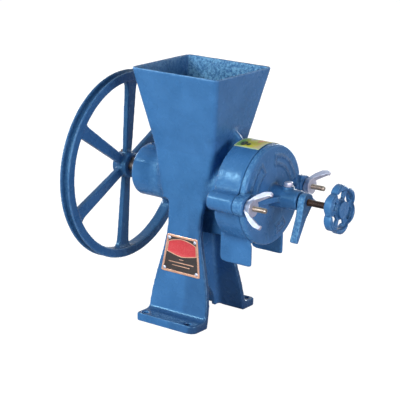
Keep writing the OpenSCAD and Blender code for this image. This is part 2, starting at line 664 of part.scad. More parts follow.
wing_lean = 33;         // lean of the nuts' bows from upright, in degrees
wing_seat = 9.5;        // half the height of the bow's flat inner face
nut_foot_r = 8;
nut_face_r = 13;
nut_hub_h = 12;
module wing_outline() difference() {
    offset(r = 3) offset(delta = -3) polygon([[0, 0], [0, -wing_reach * 0.24],
        [wing_out * 0.35, -wing_reach * 0.67], [wing_out * 0.64, -wing_reach * 0.91],
        [wing_out, -wing_reach], [wing_out, wing_reach], [wing_out * 0.64, wing_reach * 0.91],
        [wing_out * 0.35, wing_reach * 0.67], [0, wing_reach * 0.24]]);
    wing_far = wing_out + 2;
    wing_gap = wing_seat + (wing_far - wing_t) * tan(wing_slope);
    offset(r = 4) offset(delta = -4)
        polygon([[wing_t, -wing_seat], [wing_far, -wing_gap], [wing_far, wing_gap], [wing_t, wing_seat]]);
}
module wing_nut(side) color(zinc) difference() {
    translate([ear_face + 0.1, side * stud_y, shaft_z]) rotate([-wing_lean, 0, 0]) {
        rotate([0, 90, 0]) cylinder(h = nut_hub_h, r1 = nut_foot_r, r2 = nut_face_r);
        intersection() {
            rotate([90, 0, 0]) linear_extrude(wing_w + 1, center = true) wing_outline();
            translate([0, 0, -wing_reach - 1]) linear_extrude(2 * wing_reach + 2)
                polygon([[-1, -wing_w / 2], [-1, wing_w / 2], [wing_out + 1, wing_tip_w / 2],
                    [wing_out + 1, -wing_tip_w / 2]]);
        }
    }
    rod(ear_face - 1, ear_face + nut_hub_h + 2, stud_r + run, side * stud_y);
}
module front_wing_nut() wing_nut(-1);
module back_wing_nut() wing_nut(1);

module oil_plug() color(zinc) {
    translate([plug_x, 0, shaft_z + cover_bush_d / 2 + 0.5])
        cylinder(h = boss_top - shaft_z - cover_bush_d / 2, r = plug_d / 2);
    translate([plug_x, 0, boss_top]) cylinder(h = 1.2, r = 7.4);
    translate([plug_x, 0, boss_top + 1]) rotate([0, 0, 20]) cylinder(h = 5.5, d = 15, $fn = 6);
}
module thrust_ball() color(bare_steel) translate([ball_x, 0, shaft_z]) sphere(d = ball_d);

module pressure_screw() color(dark_screw) difference() {
    union() {
        taper(screw_nose, screw_nose + 1, screw_r - 1, screw_r);
        rod(screw_nose + 1, wheel_end - wheel_cap - fit, screw_r);
    }
    translate([wheel_pin_x, 0, shaft_z - 9]) cylinder(h = 18, r = wheel_pin_r + fit);
}
tip_r = 3.5;            // half width of the lever at its tip
module lock_lever() color(iron_blue) translate([0, 0, shaft_z]) rotate([-lever_lean, 0, 0]) difference() {
    union() {
        rod(lever_x, lever_x + lever_t, lever_eye_r, 0, 0);
        across(lever_x, lever_x + lever_t) polygon([[-lever_eye_r * 0.97, -3], [lever_eye_r * 0.97, -3],
            [lever_eye_r / 2, -1.8 * lever_eye_r], [tip_r, 1 - lever_len], [tip_r - 1, -lever_len],
            [1 - tip_r, -lever_len], [-tip_r, 1 - lever_len], [-lever_eye_r / 2, -1.8 * lever_eye_r]]);
    }
    rod(lever_x - 1, lever_x + lever_t + 1, screw_r + run, 0, 0);
}

wheel_pin_r = 2;
wheel_pin_x = wheel_hub_x + 3;
lobes = 6;
lobe_turn = 35;         // angle of the first lobe, from +Y towards +Z
lobe_r = wheel_r / 2 - 1;
wheel_bevel = 2.5;      // how far the rim's edges are drawn in
wheel_web = 5;          // thickness of the wheel between its hub and rim
wheel_rim_in = wheel_r - 8;
window_half = 19;       // half the angle that a window takes up
module lobed_outline(inset) for (i = [0 : lobes - 1]) rotate(lobe_turn + 360 * i / lobes)
    translate([wheel_r - lobe_r, 0]) circle(lobe_r - inset);
module window_outline(angle) polygon(concat(
    arc([0, 0], wheel_hub_r + 3, angle - window_half, angle + window_half),
    arc([0, 0], wheel_rim_in - 0.6, angle + window_half, angle - window_half)));
module handwheel() color(iron_blue) difference() {
    union() {
        translate([wheel_mid, 0, shaft_z]) rotate([90, 0, 90]) {
            translate([0, 0, 2 - wheel_t / 2]) linear_extrude(wheel_t - 4) lobed_outline(0);
            translate([0, 0, -wheel_t / 2]) linear_extrude(wheel_t) lobed_outline(wheel_bevel);
        }
        rod(wheel_hub_x, wheel_end, wheel_hub_r);
    }
    for (dish = [[wheel_mid + wheel_web / 2, wheel_end + 1], [wheel_mid - wheel_t, wheel_mid - wheel_web / 2]])
        difference() {
            rod(dish[0], dish[1], wheel_rim_in);
            rod(wheel_hub_x - 1, wheel_end, wheel_hub_r);
        }
    translate([wheel_mid - wheel_t, 0, shaft_z]) rotate([90, 0, 90]) linear_extrude(2 * wheel_t)
        for (i = [0 : lobes - 1]) window_outline(lobe_turn + 360 * i / lobes);
    rod(wheel_hub_x - 1, wheel_end - wheel_cap, screw_r + fit);
    translate([wheel_pin_x, 0, shaft_z - wheel_hub_r - 1]) cylinder(h = 2 * wheel_hub_r + 2, r = wheel_pin_r + fit);
}
module handwheel_pin() color(bare_steel)
    translate([wheel_pin_x, 0, shaft_z - wheel_hub_r]) cylinder(h = 2 * wheel_hub_r, r = wheel_pin_r);

module nameplate() color("#b5694a") difference() {
    top = nameplate_z + nameplate_h / 2;
    zs = [for (i = [0 : steps]) top - nameplate_h * i / steps];
    intersection() {
        across(-leg_foot, leg_foot) polygon(concat(
            [for (z = zs) [-leg_out(z, front_spread) - plate_seat, z]],
            [for (i = [steps : -1 : 0]) [-leg_out(zs[i], front_spread) - plate_seat - nameplate_t, zs[i]]]));
        translate([leg_shift, 0, 0]) along(-foot_reach, 0)
            polygon([[-nameplate_top / 2, top], [nameplate_top / 2, top],
                [nameplate_bottom / 2, top - nameplate_h], [-nameplate_bottom / 2, top - nameplate_h]]);
    }
    for (s = rivet_spots) on_front_leg(s) translate([0, 0, -2]) cylinder(h = 4, r = rivet_r + 0.1);
}
module nameplate_rivets() color(zinc) for (s = rivet_spots) on_front_leg(s) {
    translate([0, 0, 0.5 - rivet_len]) cylinder(h = rivet_len + nameplate_t, r = rivet_r);
    translate([0, 0, nameplate_t + 2 * plate_seat]) cylinder(h = 1.3, r1 = 2.9, r2 = 1.8);
}
label_seat = 0.05;      // gap between the label and the drum
label_t = 0.35;
label_inset = 1;        // how far the label starts from the drum's back
label_end = 110;        // angle at which the label ends
module drum_label() color("#c3c35a") ring_sector(drum_x + label_inset, drum_x + label_inset + label_len,
    drum_r + label_seat, drum_r + label_seat + label_t, label_end - label_arc, label_arc);

body_casting();
cover_casting();
pulley();
shaft();
drive_bush();
cover_bush();
worm_sleeve();
worm_flight();
fixed_plate();
fixed_plate_screws();
runner_plate();
runner_carrier();
runner_screws();
carrier_pin();
worm_key();
pulley_key();
pulley_set_screw();
cover_studs();
front_wing_nut();
back_wing_nut();
oil_plug();
thrust_ball();
pressure_screw();
lock_lever();
handwheel();
handwheel_pin();
nameplate();
nameplate_rivets();
drum_label();
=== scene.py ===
# Grinding mill, dressed for the camera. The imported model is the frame: castings are worn copies of its
# solids, and threads, plates, rivets and the plug are modelled here. Lengths in tables are millimetres.
import math

import bmesh
import bpy
import numpy as np
from mathutils import Matrix, Vector, noise
from mathutils.kdtree import KDTree


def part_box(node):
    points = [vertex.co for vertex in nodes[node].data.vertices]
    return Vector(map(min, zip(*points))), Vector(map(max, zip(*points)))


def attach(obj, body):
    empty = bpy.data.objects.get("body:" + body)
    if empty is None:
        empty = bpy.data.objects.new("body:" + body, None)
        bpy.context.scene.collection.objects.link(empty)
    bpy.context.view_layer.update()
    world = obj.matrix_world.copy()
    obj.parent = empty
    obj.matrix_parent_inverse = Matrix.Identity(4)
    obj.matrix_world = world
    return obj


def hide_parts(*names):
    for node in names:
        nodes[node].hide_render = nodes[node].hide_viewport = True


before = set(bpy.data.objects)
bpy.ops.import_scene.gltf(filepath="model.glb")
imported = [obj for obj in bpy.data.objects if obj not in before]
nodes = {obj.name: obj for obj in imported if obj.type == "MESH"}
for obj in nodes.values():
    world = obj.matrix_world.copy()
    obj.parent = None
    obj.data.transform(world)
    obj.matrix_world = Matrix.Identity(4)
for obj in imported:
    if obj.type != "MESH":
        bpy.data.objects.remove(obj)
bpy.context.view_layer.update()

MM = 0.001
SHAFT_Z = 219


def at(x, y, z):
    return Vector((x, y, z)) * MM


# Camera, at the place solved from the pulley, the hopper's rim and the feet

def make_camera():
    azimuth, elevation, roll = map(math.radians, (35.71, 15.96, 1.34))
    look = Vector((-math.sin(azimuth) * math.cos(elevation), math.cos(azimuth) * math.cos(elevation),
                   -math.sin(elevation)))
    right = Vector((math.cos(azimuth), math.sin(azimuth), 0))
    up = right.cross(look)
    across = right * math.cos(roll) + up * math.sin(roll)
    rise = up * math.cos(roll) - right * math.sin(roll)
    data = bpy.data.cameras.new("camera")
    data.sensor_width = 36
    data.lens = 36 * 1508 / 400
    data.clip_start, data.clip_end = 0.05, 50
    camera = bpy.data.objects.new("camera", data)
    bpy.context.scene.collection.objects.link(camera)
    turn = Matrix((across, rise, -look)).transposed().to_4x4()
    camera.matrix_world = Matrix.Translation(at(1317.5, -1829.7, 830.5)) @ turn
    bpy.context.scene.camera = camera


# Materials

class Finish:
    """One procedural material, built node by node on object coordinates."""

    def __init__(self, name, **sockets):
        self.material = bpy.data.materials.new(name)
        self.material.use_nodes = True
        self.tree = self.material.node_tree
        self.shader = self.tree.nodes["Principled BSDF"]
        for socket, value in sockets.items():
            self.shader.inputs[socket.replace("_", " ")].default_value = value
        self.place = self.tree.nodes.new("ShaderNodeTexCoord").outputs["Object"]
        self.bump = None

    def link(self, out, into):
        self.tree.links.new(out, into)

    def node(self, kind, links=None, **values):
        made = self.tree.nodes.new(kind)
        for name, value in values.items():
            made.inputs[name.replace("_", " ")].default_value = value
        for name, out in (links or {}).items():
            self.link(out, made.inputs[name])
        return made

    def noise(self, scale, detail=3.0, roughness=0.5, stretch=None, warp=0.0):
        place = self.place
        if stretch:
            place = self.node("ShaderNodeMapping", {"Vector": place}, Scale=stretch).outputs[0]
        return self.node("ShaderNodeTexNoise", {"Vector": place}, Scale=scale, Detail=detail,
                         Roughness=roughness, Distortion=warp).outputs[0]

    def cells(self, scale, feature="F1"):
        made = self.node("ShaderNodeTexVoronoi", {"Vector": self.place}, Scale=scale)
        made.feature = feature
        return made.outputs["Distance"]

    def trait(self, name):
        made = self.tree.nodes.new("ShaderNodeAttribute")
        made.attribute_name = name
        return made.outputs["Fac"]

    def band(self, out, low, high, to_low=0.0, to_high=1.0):
        made = self.node("ShaderNodeMapRange", {"Value": out}, From_Min=low, From_Max=high,
                         To_Min=to_low, To_Max=to_high)
        return made.outputs[0]

    def calc(self, what, a, b):
        made = self.tree.nodes.new("ShaderNodeMath")
        made.operation = what
        for socket, value in zip(made.inputs, (a, b)):
            if isinstance(value, (int, float)):
                socket.default_value = value
            else:
                self.link(value, socket)
        return made.outputs[0]

    def mix(self, amount, a, b):
        made = self.tree.nodes.new("ShaderNodeMix")
        made.data_type = "RGBA"
        for socket, value in zip((made.inputs[0], made.inputs[6], made.inputs[7]), (amount, a, b)):
            if isinstance(value, tuple):
                socket.default_value = (*value, 1)
            elif isinstance(value, float):
                socket.default_value = value
            else:
                self.link(value, socket)
        return made.outputs[2]

    def colour(self, out):
        self.link(out, self.shader.inputs["Base Color"])

    def rough(self, out, low, high):
        self.link(self.band(out, 0.25, 0.75, low, high), self.shader.inputs["Roughness"])

    def raise_skin(self, height, depth, strength=1.0):
        links = {"Height": height}
        if self.bump:
            links["Normal"] = self.bump
        made = self.node("ShaderNodeBump", links, Distance=depth * MM, Strength=strength)
        self.bump = made.outputs["Normal"]
        self.link(self.bump, self.shader.inputs["Normal"])


def blue_enamel(name="blue_enamel", shade=1.0, lumps=0.4, gloss=(0.19, 0.33)):
    """Mid-blue enamel over sand-cast iron: a smooth lumpy skin, rough places with painted glints, painted shade
    in the coves and on the legs' inner sides, and light edges, partly thin rubbed paint and partly painted highlight."""
    f = Finish(name, IOR=1.45, Specular_IOR_Level=0.55, Specular_Tint=(0.34, 0.74, 1.0, 1))
    cove, edge, sandy_and_glint, painted_shade = (f.trait(name) for name in ("cove", "edge", "sandy_and_glint", "painted_shade"))
    deep, light = (tuple(shade * c for c in tint) for tint in ((0.031, 0.128, 0.315), (0.044, 0.162, 0.382)))
    tint = f.mix(f.band(f.noise(28, 4), 0.3, 0.7), deep, light)
    # painted shade: darkens the inner sides of the legs and web, the underside of the drum and the tops of the feet
    tint = f.mix(f.calc("MULTIPLY", painted_shade, 0.75), tint, (0.012, 0.035, 0.100))
    # painted shade in the inner corners, broken up by noise
    tint = f.mix(f.calc("MULTIPLY", cove, f.band(f.noise(420, 3), 0.35, 0.7, 0.2, 0.8)), tint, (0.010, 0.045, 0.140))
    # painted glints: lighter cyan patches where the skin is rough
    patches = f.calc("MULTIPLY", sandy_and_glint, f.band(f.noise(230, 5, 0.7), 0.44, 0.58, 0.0, 0.9))
    tint = f.mix(patches, tint, tuple(shade * c for c in (0.17, 0.42, 0.68)))
    # light edges: partly paint rubbed thin, partly painted highlight
    worn = f.calc("MULTIPLY", edge, f.band(f.noise(160, 3), 0.40, 0.66, 0.10, 0.80))
    f.colour(f.mix(worn, tint, tuple(shade * c for c in (0.15, 0.34, 0.62))))
    f.rough(f.noise(70, 4), *gloss)
    f.raise_skin(f.noise(75, 3, warp=0.6), lumps)
    crust = f.calc("MAXIMUM", f.calc("MULTIPLY", cove, 0.8), sandy_and_glint)
    f.raise_skin(f.calc("MULTIPLY", f.noise(260, 4, 0.65), crust), 2.2)
    sand = f.calc("MULTIPLY", f.noise(900, 4, 0.6), f.band(f.calc("MAXIMUM", crust, edge), 0.0, 1.0, 0.05, 1.6))
    f.raise_skin(sand, 0.10)
    return f.material


def steel(name, colour, stain, rough, rings=0.0, depth=0.02, metal=1.0):
    """Turned or plated metal with faint tool rings and a thin stain."""
    f = Finish(name, Metallic=metal)
    f.colour(f.mix(f.band(f.noise(120, 4, 0.6), 0.42, 0.7, 0.0, 0.8), colour, stain))
    f.rough(f.noise(240, 3), *rough)
    f.raise_skin(f.noise(700, 3, stretch=(6, 1, 1) if rings else None), depth)
    if rings:
        wave = f.node("ShaderNodeTexWave", {"Vector": f.place}, Scale=rings, Distortion=0.4, Detail=1.0)
        wave.bands_direction = "X"
        f.raise_skin(wave.outputs["Fac"], 0.015)
    return f.material


def grey_iron(name, colour, rough, grain):
    f = Finish(name, Metallic=0.75)
    dark = tuple(0.5 * c for c in colour)
    f.colour(f.mix(f.band(f.noise(180, 5, 0.65), 0.35, 0.7), dark, colour))
    f.rough(f.noise(300, 3), *rough)
    f.raise_skin(f.noise(grain, 4, 0.6), 0.06)
    return f.material


def plate_enamel(name, colour, pale):
    """Thin baked enamel in the plate's sunk fields."""
    f = Finish(name, IOR=1.5, Coat_Weight=0.3, Coat_Roughness=0.1)
    f.colour(f.mix(f.band(f.noise(350, 4, 0.6), 0.45, 0.75, 0.0, 0.5), colour, pale))
    f.rough(f.noise(200, 3), 0.28, 0.48)
    f.raise_skin(f.noise(500, 3), 0.03)
    return f.material


def label_print():
    """A printed paper label with plain fields, green then yellow, inside a light border; its upper end fades to pale
    as a painted highlight.
    """
    f = Finish("printed_label", IOR=1.45)
    place = f.tree.nodes.new("ShaderNodeUVMap")
    place.uv_map = "print"
    split = f.node("ShaderNodeSeparateXYZ", {"Vector": place.outputs["UV"]})
    u, v = split.outputs["X"], split.outputs["Y"]
    drift = f.calc("ADD", u, f.band(f.noise(90, 2), 0.2, 0.8, -0.12, 0.12))
    field = f.mix(f.band(drift, 0.10, 0.30), (0.17, 0.42, 0.06), (0.60, 0.60, 0.04))
    # painted highlight: towards its upper end the label fades to a pale pinkish grey, where it turns away over the
    # drum
    highlight_end = f.calc("ADD", drift, f.calc("MULTIPLY", v, 0.5))
    field = f.mix(f.band(highlight_end, 1.12, 1.42), field, (0.62, 0.50, 0.44))

    def spot(cx, cy, wide, high):
        du = f.calc("DIVIDE", f.calc("SUBTRACT", u, cx), wide)
        dv = f.calc("DIVIDE", f.calc("SUBTRACT", v, cy), high)
        far = f.calc("ADD", f.calc("MULTIPLY", du, du), f.calc("MULTIPLY", dv, dv))
        return f.band(far, 0.75, 1.05, 1.0, 0.0)

    for cx, cy, wide, high, ink in ((0.66, 0.50, 0.09, 0.16, (0.70, 0.24, 0.05)), (0.80, 0.36, 0.06, 0.10, (0.66, 0.20, 0.05)),
                                    (0.30, 0.36, 0.12, 0.20, (0.72, 0.76, 0.72)), (0.26, 0.82, 0.13, 0.12, (0.03, 0.05, 0.02)),
                                    (0.46, 0.84, 0.08, 0.07, (0.03, 0.05, 0.02))):
        field = f.mix(spot(cx, cy, wide, high), field, ink)
    edge = f.calc("MINIMUM", f.calc("MINIMUM", u, f.calc("SUBTRACT", 1.0, u)),
                  f.calc("MINIMUM", v, f.calc("SUBTRACT", 1.0, v)))
    field = f.mix(f.band(edge, 0.035, 0.05, 1.0, 0.0), field, (0.50, 0.66, 0.36))
    worn = f.band(f.noise(260, 4, 0.65), 0.55, 0.75, 0.0, 0.45)
    f.colour(f.mix(worn, field, (0.70, 0.70, 0.62)))
    f.rough(f.noise(150, 3), 0.35, 0.55)
    f.raise_skin(f.noise(160, 2), 0.12)
    return f.material


def make_materials():
    return {
        "copper": steel("copper_plate", (0.80, 0.50, 0.36), (0.58, 0.30, 0.20), (0.25, 0.42), metal=0.75),
        "red": plate_enamel("red_enamel", (0.52, 0.030, 0.042), (0.62, 0.12, 0.12)),
        "black": plate_enamel("black_enamel", (0.016, 0.013, 0.013), (0.045, 0.036, 0.034)),
        "print": label_print(),
        "blue": blue_enamel(),
        # painted shade: a darker copy of the blue enamel, for the pulley in the body's shade
        "shaded_blue": blue_enamel("shaded_blue_enamel", shade=0.74),
        "shaft": steel("turned_steel", (0.36, 0.33, 0.31), (0.20, 0.13, 0.09), (0.28, 0.5), rings=90),
        "black_steel": steel("blacked_steel", (0.075, 0.055, 0.048), (0.15, 0.09, 0.06), (0.32, 0.55), metal=0.8),
        "white_zinc": steel("white_zinc", (0.50, 0.58, 0.72), (0.36, 0.40, 0.52), (0.28, 0.46), metal=0.6),
        "yellow_zinc": steel("yellow_zinc", (0.44, 0.42, 0.37), (0.22, 0.20, 0.17), (0.24, 0.40)),
        "bronze": steel("bored_bronze", (0.55, 0.35, 0.14), (0.34, 0.20, 0.09), (0.3, 0.5), rings=90),
        "iron": grey_iron("machined_iron", (0.20, 0.20, 0.205), (0.4, 0.62), 500),
        "chilled": grey_iron("chilled_iron", (0.27, 0.27, 0.28), (0.35, 0.6), 900),
    }


def stage():
    bm = bmesh.new()
    bmesh.ops.create_grid(bm, x_segments=1, y_segments=1, size=6)
    mesh = bpy.data.meshes.new("floor")
    bm.to_mesh(mesh)
    bm.free()
    floor = bpy.data.objects.new("floor", mesh)
    bpy.context.scene.collection.objects.link(floor)
    pale = bpy.data.materials.new("pale_floor")
    pale.use_nodes = True
    tree = pale.node_tree
    out = tree.nodes["Material Output"]
    tree.nodes.remove(tree.nodes["Principled BSDF"])
    matt = tree.nodes.new("ShaderNodeBsdfDiffuse")
    matt.inputs["Color"].default_value = (0.62, 0.62, 0.63, 1)
    glow = tree.nodes.new("ShaderNodeEmission")
    glow.inputs["Strength"].default_value = 1.4
    both = tree.nodes.new("ShaderNodeMixShader")
    path = tree.nodes.new("ShaderNodeLightPath")
    share = tree.nodes.new("ShaderNodeMath")
    share.operation = "MULTIPLY"
    share.inputs[1].default_value = 0.70
    tree.links.new(path.outputs["Is Camera Ray"], share.inputs[0])
    tree.links.new(share.outputs[0], both.inputs[0])
    tree.links.new(matt.outputs[0], both.inputs[1])
    tree.links.new(glow.outputs[0], both.inputs[2])
    tree.links.new(both.outputs[0], out.inputs["Surface"])
    mesh.materials.append(pale)

    world = bpy.data.worlds.new("studio")
    bpy.context.scene.world = world
    world.use_nodes = True
    tree = world.node_tree
    soft = tree.nodes["Background"]
    soft.inputs["Color"].default_value = (0.93, 0.96, 1.0, 1)
    soft.inputs["Strength"].default_value = 0.07
    white = tree.nodes.new("ShaderNodeBackground")
    path = tree.nodes.new("ShaderNodeLightPath")
    seen = path.outputs["Is Camera Ray"]
    for ray in ("Is Glossy Ray", "Is Transmission Ray"):
        add = tree.nodes.new("ShaderNodeMath")
        add.operation = "MAXIMUM"
        tree.links.new(seen, add.inputs[0])
        tree.links.new(path.outputs[ray], add.inputs[1])
        seen = add.outputs[0]
    both = tree.nodes.new("ShaderNodeMixShader")
    tree.links.new(seen, both.inputs[0])
    tree.links.new(soft.outputs[0], both.inputs[1])
    tree.links.new(white.outputs[0], both.inputs[2])
    tree.links.new(both.outputs[0], tree.nodes["World Output"].inputs["Surface"])


def lamp(name, place, target, size, watts, tint=(1, 1, 1)):
    data = bpy.data.lights.new(name, "AREA")
    data.shape = "SQUARE"
    data.size = size
    data.energy = watts
    data.color = tint
    light = bpy.data.objects.new(name, data)
    light.location = place
    light.rotation_euler = (Vector(target) - Vector(place)).to_track_quat("-Z", "Y").to_euler()
    bpy.context.scene.collection.objects.link(light)


# Worn castings

def welded(node):
    bm = bmesh.new()
    bm.from_mesh(nodes[node].data)
    bmesh.ops.remove_doubles(bm, verts=bm.verts[:], dist=1e-6)
    return bm


def corner_points(bm, sharp=25, gap=1.2):
    """Points along a solid's outer and inner corners."""
    outer, inner = [], []
    for edge in bm.edges:
        if len(edge.link_faces) != 2:
            continue
        angle = edge.calc_face_angle_signed(0)
        if abs(angle) < math.radians(sharp):
            continue
        a, b = (v.co for v in edge.verts)
        count = max(1, math.ceil((b - a).length / (gap * MM)))
        row = [a.lerp(b, i / count) for i in range(count + 1)]
        (outer if angle > 0 else inner).extend(row)
    trees = []
    for points in (outer, inner):
        tree = KDTree(len(points))
        for i, p in enumerate(points):
            tree.insert(p, i)
        tree.balance()
        trees.append(tree if points else None)
    return trees


def near(tree, places, reach):
    """1 on a corner, falling to 0 at reach from it."""
    if tree is None:
        return np.zeros(len(places))
    far = np.array([tree.find(p)[2] for p in places])
    t = np.clip(1 - far / (reach * MM), 0, 1)
    return t * t * (3 - 2 * t)


def read(mesh):
    co = np.empty(len(mesh.vertices) * 3)
    mesh.vertices.foreach_get("co", co)
    return co.reshape(-1, 3)


def baked(obj):
    depsgraph = bpy.context.evaluated_depsgraph_get()
    mesh = bpy.data.meshes.new_from_object(obj.evaluated_get(depsgraph))
    old = obj.data
    obj.modifiers.clear()
    obj.data = mesh
    mesh.name = old.name
    bpy.data.meshes.remove(old)
    return mesh


def soften(co, ends, weight):
    """One round of averaging with the neighbours, by weight."""
    count = np.bincount(ends[:, 0], minlength=len(co)) + np.bincount(ends[:, 1], minlength=len(co))
    total = np.empty_like(co)
    for k in range(3):
        total[:, k] = (np.bincount(ends[:, 0], co[ends[:, 1], k], len(co))
                       + np.bincount(ends[:, 1], co[ends[:, 0], k], len(co)))
    return co + weight[:, None] * (total / np.maximum(count, 1)[:, None] - co)


def true_up(co, loose, skins):
    """Brings faceted round skins back to true cylinders: (x0, x1, radius, y, z)."""
    for x0, x1, radius, y, z in skins:
        dy, dz = co[:, 1] - y * MM, co[:, 2] - z * MM
        far = np.hypot(dy, dz)
        on = ((abs(far - radius * MM) < 0.35 * MM) & (co[:, 0] > x0 * MM) & (co[:, 0] < x1 * MM)).astype(float)
        pull = on * (1 - loose) * (radius * MM / np.maximum(far, 1e-9) - 1)
        co[:, 1] += dy * pull
        co[:, 2] += dz * pull
    return co


def casting(node, body, voxel, outer=(3.0, 4), inner=(8.0, 14), lump=0.25, grain=22, scabs=0.0, skins=(),
            rim=0.0, sandy_and_glint=None, painted_shade=None, shade=0.6, most=190000, finish="blue"):
    """A worn copy of a CAD casting: an even skin, outer corners worn and inner corners filleted by (reach,
    rounds) of averaging, and a slightly uneven surface that only ever lies inside the solid's. A sandy_and_glint
    function of place and normal, both in mm, tells where the skin is rough and takes painted glint patches; a
    painted_shade function tells where painted shade darkens it, and rim marks the rim's top as a painted highlight."""
    bm = welded(node)
    outer_tree, inner_tree = corner_points(bm)
    mesh = bpy.data.meshes.new("cast_" + node)
    bm.to_mesh(mesh)
    bm.free()
    obj = bpy.data.objects.new("cast_" + node, mesh)
    bpy.context.scene.collection.objects.link(obj)
    remesh = obj.modifiers.new("even skin", "REMESH")
    remesh.mode = "VOXEL"
    remesh.voxel_size = voxel * MM
    mesh = baked(obj)

    co = read(mesh)
    places = [Vector(p) for p in co]
    by_outer, by_inner = near(outer_tree, places, outer[0]), near(inner_tree, places, inner[0])
    ends = np.empty(len(mesh.edges) * 2, int)
    mesh.edges.foreach_get("vertices", ends)
    ends = ends.reshape(-1, 2)
    for step in range(max(outer[1], inner[1])):
        weight = np.maximum(by_outer * (step < outer[1]), by_inner * (step < inner[1]))
        co = soften(co, ends, np.maximum(weight * 0.8, 0.35 * (step < 2)))
    co = true_up(co, np.maximum(by_outer, by_inner), skins)
    mesh.vertices.foreach_set("co", co.ravel())
    mesh.update()
    normals = np.empty(len(co) * 3)
    mesh.vertices.foreach_get("normal", normals)
    sink = np.array([noise.noise(p * (1000 / grain)) + 0.5 * noise.noise(p * (2600 / grain)) for p in places])
    sink = lump * np.clip(0.5 + 0.5 * sink, 0, 1)
    if sandy_and_glint:
        rough = np.array([noise.noise(p * 150) + 0.7 * noise.noise(p * 360) for p in places])
        sink += 0.7 * sandy_and_glint(co / MM, normals.reshape(-1, 3)) * np.clip(0.5 + 0.7 * rough, 0, 1)
    if scabs:
        rough = np.array([noise.noise(p * 190) + 0.6 * noise.noise(p * 420) for p in places])
        sink += scabs * by_inner * np.clip(0.5 + 0.7 * rough, 0, 1)
    co = co - normals.reshape(-1, 3) * sink[:, None] * MM
    if rim:
        high = np.clip((co[:, 2] - (rim - 12) * MM) / (12 * MM), 0, 1)
        wave = np.array([0.5 + 0.5 * noise.noise(Vector((p.x, p.y, 0)) * 40) for p in places])
        co[:, 2] -= 0.6 * MM * high * wave
    mesh.vertices.foreach_set("co", co.ravel())
    mesh.update()

    faces = 2 * len(mesh.polygons)
    if faces > most:
        thin = obj.modifiers.new("thin out", "DECIMATE")
        thin.ratio = most / faces
        mesh = baked(obj)
    places = [v.co.copy() for v in mesh.vertices]
    # edge: outer corners, lightened by wear and painted highlight; cove: inner corners, roughened and darkened as
    # painted shade (scaled by shade)
    for name, tree, reach, amount in (("edge", outer_tree, outer[0] * 0.8, 1), ("cove", inner_tree, inner[0] * 1.6, shade)):
        mesh.attributes.new(name, "FLOAT", "POINT").data.foreach_set("value", amount * near(tree, places, reach))
    co = read(mesh)
    normals = np.empty(len(co) * 3)
    mesh.vertices.foreach_get("normal", normals)
    for name, place in (("sandy_and_glint", sandy_and_glint), ("painted_shade", painted_shade)):
        if place:
            amount = place(co / MM, normals.reshape(-1, 3)).astype(float)
            mesh.attributes.new(name, "FLOAT", "POINT").data.foreach_set("value", amount)
    # painted highlight: the top of the hopper's rim is marked as a light edge
    if rim:
        top = np.clip((co[:, 2] / MM - rim + 3.5) / 2, 0, 1)
        lit = mesh.attributes["edge"].data
        worn = np.empty(len(co))
        lit.foreach_get("value", worn)
        lit.foreach_set("value", np.maximum(worn, top))
    mesh.shade_smooth()
    mesh.materials.clear()
    mesh.materials.append(M[finish])
    print(node, "cast:", faces, "->", sum(len(p.vertices) - 2 for p in mesh.polygons))
    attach(obj, body)
    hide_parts(node)
    return obj


# Turned and pressed pieces

def turned(bm, profile, base, up, steps=40):
    """A turned solid: (height, radius) pairs from axis to axis, in mm, spun round up at base."""
    up = Vector(up).normalized()
    side = up.orthogonal().normalized()
    verts = [bm.verts.new(base + (up * h + side * r) * MM) for h, r in profile]
    edges = [bm.edges.new(pair) for pair in zip(verts, verts[1:])]
    before = set(bm.verts) - set(verts)
    bmesh.ops.spin(bm, geom=verts + edges, cent=base, axis=up, angle=2 * math.pi, steps=steps, use_merge=True)
    bmesh.ops.remove_doubles(bm, verts=[v for v in bm.verts if v not in before], dist=1e-6)


def thread(bm, x0, x1, radius, pitch, y=0.0, steps=16, tip=0.8):
    """A right-hand thread along the shaft's direction: one pitch of its section wound round, welded, cut
    square at both ends and capped, with tapered tips."""
    depth = 0.6 * pitch
    centre = at(0, y, SHAFT_Z)
    section = [(0, 0), (0.06, 0), (0.44, 1), (0.56, 1), (0.94, 0), (1, 0)]
    verts = [bm.verts.new(at(x0 + (u - 1) * pitch, y, SHAFT_Z + radius - depth * (1 - r))) for u, r in section]
    edges = [bm.edges.new(pair) for pair in zip(verts, verts[1:])]
    before = set(bm.verts) - set(verts)
    turns = math.ceil((x1 - x0) / pitch) + 2
    bmesh.ops.spin(bm, geom=verts + edges, cent=centre, axis=(1, 0, 0), dvec=(pitch * MM / steps, 0, 0),
                   angle=2 * math.pi * turns, steps=steps * turns, use_merge=False)
    bmesh.ops.remove_doubles(bm, verts=[v for v in bm.verts if v not in before], dist=0.02 * MM)
    for x, way in ((x0, -1), (x1, 1)):
        own = [v for v in bm.verts if v not in before]
        geom = own + [e for e in bm.edges if e.verts[0] not in before] + [f for f in bm.faces
                                                                          if f.verts[0] not in before]
        bmesh.ops.bisect_plane(bm, geom=geom, dist=1e-7, plane_co=at(x, y, SHAFT_Z), plane_no=(way, 0, 0),
                               clear_outer=True)
    own = [v for v in bm.verts if v not in before]
    open_edges = [e for e in bm.edges if len(e.link_faces) == 1 and e.verts[0] not in before]
    bmesh.ops.holes_fill(bm, edges=open_edges, sides=0)
    for v in own:
        room = min(v.co.x - x0 * MM, x1 * MM - v.co.x) / MM
        most = (radius - depth - 0.2 + (depth + 0.2) * min(1, room / tip)) * MM
        out = Vector((0, v.co.y - centre.y, v.co.z - centre.z))
        if out.length > most:
            out.length = most
            v.co.y, v.co.z = centre.y + out.y, centre.z + out.z


